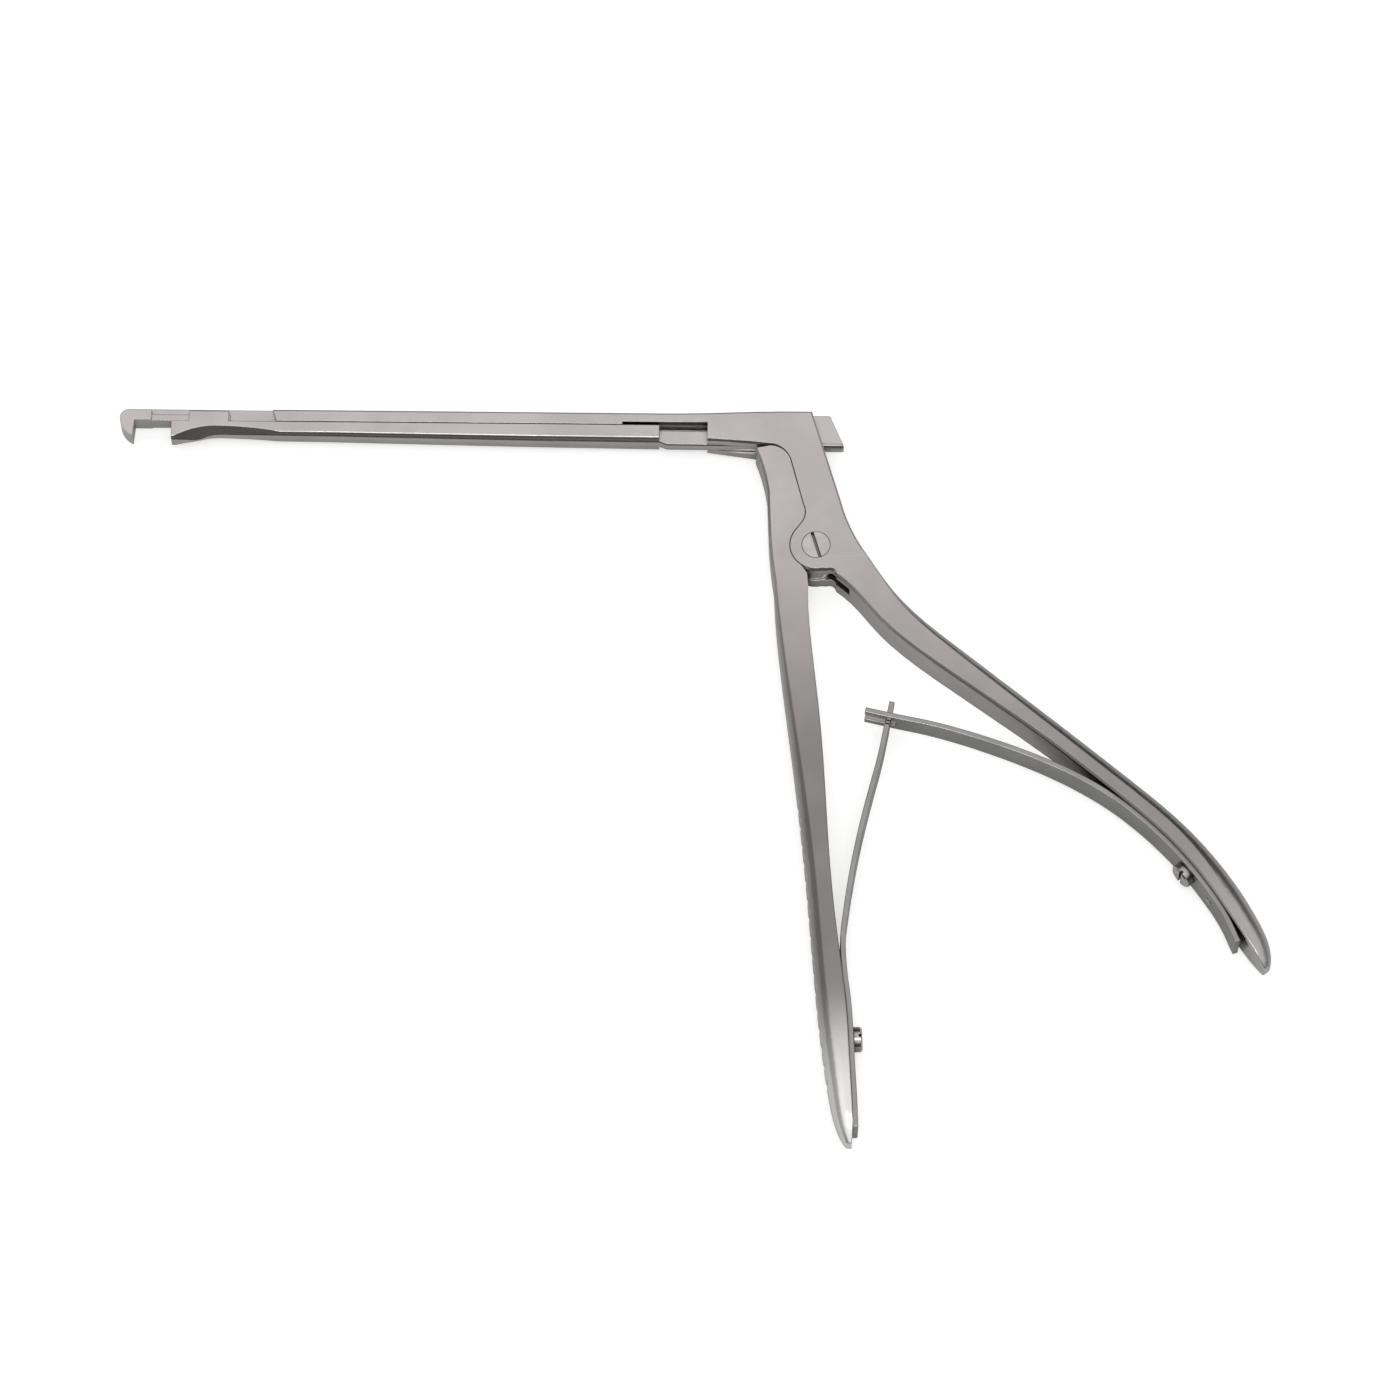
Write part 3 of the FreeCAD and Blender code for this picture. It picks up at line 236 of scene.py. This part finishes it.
def grindingGroup():
    tree = bpy.data.node_groups.new("grinding", "ShaderNodeTree")
    given, result = addSockets(tree, {"Turn": "Float", "Line Density": "Float", "Smudge Size": "Float"},
                               {"Lines": "Float", "Smudge": "Float", "Speck": "Float", "Scratches": "Float"})
    place = objectPlace(tree)
    turn = addNode(tree, "ShaderNodeVectorRotate", rotation_type="Z_AXIS")
    tree.links.new(place, turn.inputs["Vector"])
    tree.links.new(given["Turn"], turn.inputs["Angle"])
    stretched = addVectorMath(tree, "MULTIPLY", turn.outputs["Vector"], (grain["stretch"], 1.0, 1.0))
    lines = addNoise(tree, stretched, given["Line Density"], grain["lineDetail"], grain["lineRoughness"])
    coarse = addNoise(tree, stretched, grain["scratchDensity"], 1.0)
    for label, item in (("Lines", lines),
                        ("Smudge", addNoise(tree, place, given["Smudge Size"], grain["smudgeDetail"])),
                        ("Speck", addNoise(tree, place, grain["speckDensity"])),
                        ("Scratches", addRamp(tree, coarse, grain["scratchStart"], grain["scratchEnd"]))):
        tree.links.new(item, result[label])
    return tree


def dirtAndShadeGroup():
    tree = bpy.data.node_groups.new("dirtAndShadeTree", "ShaderNodeTree")
    given, result = addSockets(tree, {"Reach": "Float", "Openness": "Float"}, {"Amount": "Float"})
    # ambient occlusion sets where dirt and painted shade darken the colour
    near = addNode(tree, "ShaderNodeAmbientOcclusion", samples=corners["samples"])
    tree.links.new(given["Reach"], near.inputs["Distance"])
    amount = addRamp(tree, near.outputs["AO"], given["Openness"], corners["closed"])
    tree.links.new(amount, result["Amount"])
    return tree


def roundedGroup():
    tree = bpy.data.node_groups.new("rounded", "ShaderNodeTree")
    given, result = addSockets(tree, {"Normal": "Vector", "Start": "Float", "Rate": "Float"},
                               {"Normal": "Vector"})
    height = splitVector(tree, objectPlace(tree))[2]
    above = addMath(tree, "MAXIMUM", addMath(tree, "SUBTRACT", height, given["Start"]), 0.0)
    slope = addMath(tree, "MINIMUM", addMath(tree, "MULTIPLY", above, given["Rate"]), curving["steepest"])
    level = addMath(tree, "ABSOLUTE", splitVector(tree, given["Normal"])[2])
    upright = addMath(tree, "MULTIPLY_ADD", level, -curving["levelShare"], 1.0, clamp=True)
    lift = joinVector(tree, z=addMath(tree, "MULTIPLY", slope, upright))
    leaned = addVectorMath(tree, "ADD", given["Normal"], lift)
    tree.links.new(addVectorMath(tree, "NORMALIZE", leaned), result["Normal"])
    return tree


grinding = grindingGroup()
dirtAndShadeTree = dirtAndShadeGroup()
rounded = roundedGroup()


def steelColour(tree, look, effect, smudge, height):
    colour = addBlend(tree, smudge, look["colour"], look["smudgeColour"])
    scratched = addMath(tree, "MULTIPLY", effect["Scratches"], look["scratchShare"])
    colour = addBlend(tree, scratched, colour, look["scratchColour"])
    # painted shade: flat faces are darkened along y towards the grips, standing in for the dimmer light
    # there
    paintedGripShade = addRamp(tree, height, look["paintedShadeFrom"] * mm, look["paintedShadeTo"] * mm, 0.0, 1.0 - look["paintedShadeLevel"])
    facing = splitVector(tree, addNode(tree, "ShaderNodeNewGeometry").outputs["True Normal"])[2]
    flatPaintedGripShade = addMath(tree, "MULTIPLY", paintedGripShade, addMath(tree, "ABSOLUTE", facing))
    return addBlend(tree, 1.0, colour, addMath(tree, "MULTIPLY_ADD", flatPaintedGripShade, -1.0, 1.0), "MULTIPLY")


def steelNormal(tree, look, effect, height):
    edge = addNode(tree, "ShaderNodeBevel", samples=look["edgeSamples"])
    radius = addRamp(tree, height, look["softFrom"] * mm, look["softTo"] * mm, look["edgeRadius"] * mm,
                     look["softRadius"] * mm)
    tree.links.new(radius, edge.inputs["Radius"])
    curved = useGroup(tree, rounded, {"Normal": edge.outputs["Normal"], "Start": look["roundStart"] * mm,
                                      "Rate": look["roundRate"] / mm})
    bump = addNode(tree, "ShaderNodeBump")
    relief = addMath(tree, "MULTIPLY_ADD", effect["Speck"], look["speckHeight"], effect["Lines"])
    for label, item in (("Strength", look["bump"]), ("Distance", look["relief"] * mm), ("Height", relief),
                        ("Normal", curved["Normal"])):
        feed(tree, bump.inputs[label], item)
    return bump.outputs["Normal"]


def steel(name, look, special=None):
    paint = bpy.data.materials.new(name)
    paint.use_nodes = True
    tree = paint.node_tree
    shader = tree.nodes["Principled BSDF"]
    effect = useGroup(tree, grinding, {
        "Turn": math.radians(look["turn"]), "Line Density": look["lineDensity"],
        "Smudge Size": look["smudgeSize"]})
    dirtAndShade = useGroup(tree, dirtAndShadeTree, {"Reach": look["dirtAndShadeReach"] * mm, "Openness": look["dirtAndShadeOpenness"]})
    smudge = addRamp(tree, effect["Smudge"], look["smudgeStart"], look["smudgeEnd"])
    height = splitVector(tree, objectPlace(tree))[1]
    colour = steelColour(tree, look, effect, smudge, height)
    rough = addMath(tree, "MULTIPLY_ADD", effect["Lines"], look["roughSpread"],
                    look["roughness"] - look["roughSpread"] / 2)
    rough = addMath(tree, "MULTIPLY_ADD", smudge, look["smudgeRough"], rough)
    if special:
        colour, rough = special(tree, colour, rough)
    # painted shade and dirt: the colour is darkened in slots, seams and inner corners
    amount = addMath(tree, "MULTIPLY", dirtAndShade["Amount"], look["dirtAndShadeShare"])
    colour = addBlend(tree, amount, colour, look["dirtAndShadeColour"])
    for label, item in (("Metallic", 1.0), ("Base Color", colour), ("Roughness", rough),
                        ("Normal", steelNormal(tree, look, effect, height))):
        feed(tree, shader.inputs[label], item)
    return paint


# handle ends are polished, with lower roughness, and carry a painted highlight, a lighter colour, the front
# one most
tipPolishAndHighlight = {"rearTip": (88.0, -88.0, midPlane), "rearShare": 0.2, "frontTip": (6.5, -125.0, midPlane),
             "frontShare": 1.0, "inner": 8.0, "outer": 34.0, "colour": (0.86, 0.84, 0.83),
             "roughChange": -0.14, "leastRough": 0.1}
# a thin stain where the pivot screw's head meets the cheek
stain = {"centre": (0.0, 0.0, 0.0), "radius": 2.85, "width": 0.22, "colour": (0.20, 0.12, 0.09),
         "share": 0.7}


def polishAndHighlightTip(tree, colour, rough, tip, most):
    away = distanceTo(tree, objectPlace(tree), tip)
    share = addRamp(tree, away, tipPolishAndHighlight["inner"] * mm, tipPolishAndHighlight["outer"] * mm, most, 0.0)
    rough = addMath(tree, "MULTIPLY_ADD", share, tipPolishAndHighlight["roughChange"], rough)
    # painted highlight: the colour is blended lighter towards the tip
    return (addBlend(tree, share, colour, tipPolishAndHighlight["colour"]),
            addMath(tree, "MAXIMUM", rough, tipPolishAndHighlight["leastRough"]))


def frontTipPolishAndHighlight(tree, colour, rough):
    return polishAndHighlightTip(tree, colour, rough, tipPolishAndHighlight["frontTip"], tipPolishAndHighlight["frontShare"])


def rearTipHighlightAndStain(tree, colour, rough):
    colour, rough = polishAndHighlightTip(tree, colour, rough, tipPolishAndHighlight["rearTip"], tipPolishAndHighlight["rearShare"])
    x, y, z = splitVector(tree, objectPlace(tree))
    away = distanceTo(tree, joinVector(tree, x, y), stain["centre"])
    ring = addMath(tree, "COMPARE", away, stain["radius"] * mm, stain["width"] * mm / 2)
    return addBlend(tree, addMath(tree, "MULTIPLY", ring, stain["share"]), colour, stain["colour"]), rough


satin = {
    "colour": (0.548, 0.508, 0.508), "smudgeColour": (0.50, 0.462, 0.465), "smudgeSize": 80.0,
    "smudgeStart": 0.35, "smudgeEnd": 0.65, "turn": 0.0, "lineDensity": 9000.0,
    "roughness": 0.2, "roughSpread": 0.1, "smudgeRough": 0.05,
    "scratchShare": 0.12, "scratchColour": (0.66, 0.64, 0.63),
    "bump": 0.14, "speckHeight": 0.5, "relief": 0.02,
    "edgeRadius": 0.22, "edgeSamples": 6, "softRadius": 0.5, "softFrom": -8.0, "softTo": -22.0,
    "roundStart": 7.2, "roundRate": 0.8, "paintedShadeFrom": 22.0, "paintedShadeTo": -58.0, "paintedShadeLevel": 0.48,
    "dirtAndShadeReach": 2.4, "dirtAndShadeOpenness": 0.72, "dirtAndShadeShare": 0.8, "dirtAndShadeColour": (0.09, 0.08, 0.075)}
bright = dict(
    satin, colour=(0.56, 0.522, 0.52), smudgeColour=(0.48, 0.45, 0.445), smudgeSize=300.0,
    lineDensity=7000.0, roughness=0.18, roughSpread=0.08, bump=0.08, edgeRadius=0.12, softRadius=0.12,
    roundRate=0.0, paintedShadeLevel=1.0, dirtAndShadeReach=3.0, dirtAndShadeOpenness=0.97, dirtAndShadeShare=1.0)
leafSteel = dict(
    satin, colour=(0.35, 0.338, 0.334), smudgeColour=(0.31, 0.30, 0.296), smudgeSize=120.0, turn=30.0,
    roughness=0.26, roughSpread=0.05, bump=0.03, edgeRadius=0.12, softRadius=0.12, roundRate=0.0,
    paintedShadeLevel=1.0, dirtAndShadeReach=1.0)
finishes = {
    "frameSteel": steel("frameSteel", dict(satin, paintedShadeLevel=0.6), rearTipHighlightAndStain),
    "gripSteel": steel("gripSteel", dict(satin, turn=86.0, dirtAndShadeOpenness=0.9), frontTipPolishAndHighlight),
    "sliderSteel": steel("sliderSteel", dict(satin, roundStart=4.0, roundRate=0.45)),
    "screwSteel": steel("screwSteel", bright),
    "leafSteel": steel("leafSteel", leafSteel),
}
worn = {
    "frameSteel": ["frame"],
    "gripSteel": ["front_handle"],
    "sliderSteel": ["slider"],
    "screwSteel": ["pivot_screw", "front_spring_screw", "rear_spring_screw", "front_spring_pin",
                   "rear_spring_pin"],
    "leafSteel": ["front_spring", "rear_spring"],
}
for finishName, nodeNames in worn.items():
    for nodeName in nodeNames:
        for slot in nodes[nodeName].material_slots:
            slot.material = finishes[finishName]
print("steel finishes made")


# leaf springs: a strip swept along its bent centreline, with a fork or a tongue at its free end
leafLook = {"thickness": 1.1, "width": 7.0, "endWidth": 5.4, "steps": 130, "edge": 0.16, "edgeSegments": 2,
            "edgeAngle": 50.0}
rearLeaf = {
    "path": [(83.45, -83.6), (80.83, -77.57), (77.36, -71.98), (73.42, -66.7), (69.04, -61.79),
             (64.28, -57.25), (59.14, -53.14), (53.59, -49.59), (47.75, -46.55), (41.72, -43.92),
             (35.56, -41.6), (29.31, -39.53), (22.96, -37.77), (16.52, -36.4), (10.1, -34.95)],
    "taperStart": 0.40, "slotWidth": 2.3, "slotStart": 0.934,
    "tongueWidth": 5.4, "tongueStart": 2.0,    # past the end: no tongue
    "from": "frame_body", "to": "front_handle_body",
    "bendStart": (59.5, -53.4, midPlane), "bendEnd": (-30.5, -19.6, midPlane)}
frontLeaf = {
    "path": [(8.57, -123.08), (8.28, -116.53), (7.87, -109.99), (7.53, -103.45), (7.03, -96.92),
             (6.23, -90.41), (5.93, -83.88), (6.57, -77.36), (7.49, -70.87), (8.61, -64.42),
             (9.96, -58.0), (11.48, -51.63), (13.05, -45.27), (14.3, -38.83), (15.5, -32.4)],
    "taperStart": 0.49, "slotWidth": 0.8, "slotStart": 2.0,    # past the end: no slot
    "tongueWidth": 1.9, "tongueStart": 0.94,
    "from": "front_handle_body", "to": "frame_body",
    "bendStart": (6.5, -77.9, midPlane), "bendEnd": (22.5, 4.9, midPlane)}


def leafTree():
    tree = bpy.data.node_groups.new("leafStrip", "GeometryNodeTree")
    given, result = addSockets(
        tree, {"Geometry": "Geometry", "Thickness": "Float", "Width": "Float", "End Width": "Float",
               "Taper Start": "Float", "Slot Width": "Float", "Slot Start": "Float", "Tongue Width": "Float",
               "Tongue Start": "Float", "Steps": "Int", "Steel": "Material"}, {"Geometry": "Geometry"})
    link = tree.links.new

    # a unit grid, three faces wide: the middle row is the slot or the tongue's root
    grid = addNode(tree, "GeometryNodeMeshGrid")
    for label, item in (("Size X", 1.0), ("Size Y", 1.0), ("Vertices X", given["Steps"]),
                        ("Vertices Y", 4)):
        feed(tree, grid.inputs[label], item)
    x, y, z = splitVector(tree, tree.nodes.new("GeometryNodeInputPosition").outputs[0])
    along = addMath(tree, "ADD", x, 0.5)
    acrossSize = addMath(tree, "ABSOLUTE", y)
    outer = addMath(tree, "GREATER_THAN", acrossSize, 0.3)
    inSlot = addMath(tree, "MULTIPLY", addMath(tree, "GREATER_THAN", along, given["Slot Start"]),
                     addMath(tree, "LESS_THAN", acrossSize, 0.1))
    slotted = addNode(tree, "GeometryNodeDeleteGeometry", domain="FACE")
    link(grid.outputs["Mesh"], slotted.inputs["Geometry"])
    link(inSlot, slotted.inputs["Selection"])

    taper = addRamp(tree, along, given["Taper Start"], 1.0, given["Width"], given["End Width"])
    tongue = addMath(tree, "GREATER_THAN", along, given["Tongue Start"])
    narrower = addMath(tree, "SUBTRACT", given["Tongue Width"], taper)
    half = addMath(tree, "MULTIPLY", addMath(tree, "MULTIPLY_ADD", tongue, narrower, taper), 0.5)
    slotHalf = addMath(tree, "MULTIPLY", given["Slot Width"], 0.5)
    reach = addMath(tree, "MULTIPLY_ADD", outer, addMath(tree, "SUBTRACT", half, slotHalf), slotHalf)
    side = addMath(tree, "MULTIPLY", reach, addMath(tree, "SIGN", y))

    path = addNode(tree, "GeometryNodeSampleCurve", mode="FACTOR", use_all_curves=True)
    link(given["Geometry"], path.inputs["Curves"])
    link(along, path.inputs["Factor"])
    outward = addVectorMath(tree, "CROSS_PRODUCT", path.outputs["Tangent"], (0.0, 0.0, 1.0))
    back = addVectorMath(tree, "SCALE", outward, scale=addMath(tree, "MULTIPLY", given["Thickness"], -0.5))
    lifted = addVectorMath(tree, "ADD", path.outputs["Position"], joinVector(tree, z=side))
    bend = addNode(tree, "GeometryNodeSetPosition")
    link(slotted.outputs[0], bend.inputs["Geometry"])
    link(addVectorMath(tree, "ADD", lifted, back), bend.inputs["Position"])

    thick = addNode(tree, "GeometryNodeExtrudeMesh", mode="FACES")
    link(bend.outputs[0], thick.inputs["Mesh"])
    link(given["Thickness"], thick.inputs["Offset Scale"])
    thick.inputs["Individual"].default_value = False
    under = addNode(tree, "GeometryNodeFlipFaces")
    link(bend.outputs[0], under.inputs["Mesh"])
    whole = addNode(tree, "GeometryNodeJoinGeometry")
    link(thick.outputs["Mesh"], whole.inputs[0])
    link(under.outputs["Mesh"], whole.inputs[0])
    closed = addNode(tree, "GeometryNodeMergeByDistance")
    closed.inputs["Distance"].default_value = 0.001 * mm
    link(whole.outputs[0], closed.inputs["Geometry"])
    real = addNode(tree, "GeometryNodeRealizeInstances")
    link(closed.outputs[0], real.inputs[0])
    coated = addNode(tree, "GeometryNodeSetMaterial")
    link(real.outputs[0], coated.inputs["Geometry"])
    link(given["Steel"], coated.inputs["Material"])
    link(coated.outputs[0], result[0])
    return tree


leafStrip = leafTree()


def leafPath(name, points):
    data = bpy.data.curves.new(name, "CURVE")
    data.dimensions = "3D"
    spline = data.splines.new("BEZIER")
    spline.bezier_points.add(len(points) - 1)
    for knot, (x, y) in zip(spline.bezier_points, points):
        knot.co = (x * mm, y * mm, midPlane * mm)
        knot.handle_left_type = knot.handle_right_type = "AUTO"
    return addObject(name, data)


def makeLeaf(name, node, look):
    holder = leafPath(name + "Path", look["path"])
    strip = holder.modifiers.new("strip", "NODES")
    strip.node_group = leafStrip
    sizes = {"Thickness": leafLook["thickness"] * mm, "Width": leafLook["width"] * mm,
             "End Width": leafLook["endWidth"] * mm, "Taper Start": look["taperStart"],
             "Slot Width": look["slotWidth"] * mm, "Slot Start": look["slotStart"],
             "Tongue Width": look["tongueWidth"] * mm, "Tongue Start": look["tongueStart"],
             "Steps": leafLook["steps"], "Steel": finishes["leafSteel"]}
    for item in leafStrip.interface.items_tree:
        if item.in_out == "INPUT" and item.name in sizes:
            strip[item.identifier] = sizes[item.name]
    seen = holder.evaluated_get(bpy.context.evaluated_depsgraph_get())
    mesh = bpy.data.meshes.new_from_object(seen)
    bpy.data.objects.remove(holder)
    leaf = addObject(name, mesh)
    edges = leaf.modifiers.new("edge", "BEVEL")
    edges.width = leafLook["edge"] * mm
    edges.segments = leafLook["edgeSegments"]
    edges.limit_method = "ANGLE"
    edges.angle_limit = math.radians(leafLook["edgeAngle"])
    softened = bpy.data.meshes.new_from_object(leaf.evaluated_get(bpy.context.evaluated_depsgraph_get()))
    leaf.modifiers.clear()
    leaf.data = softened
    leaf.data.materials.clear()
    leaf.data.materials.append(finishes["leafSteel"])
    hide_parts(node)
    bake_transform(leaf)
    print(name, "made with", len(leaf.data.polygons), "faces")


makeLeaf("rearLeafSpring", "rear_spring", rearLeaf)
makeLeaf("frontLeafSpring", "front_spring", frontLeaf)
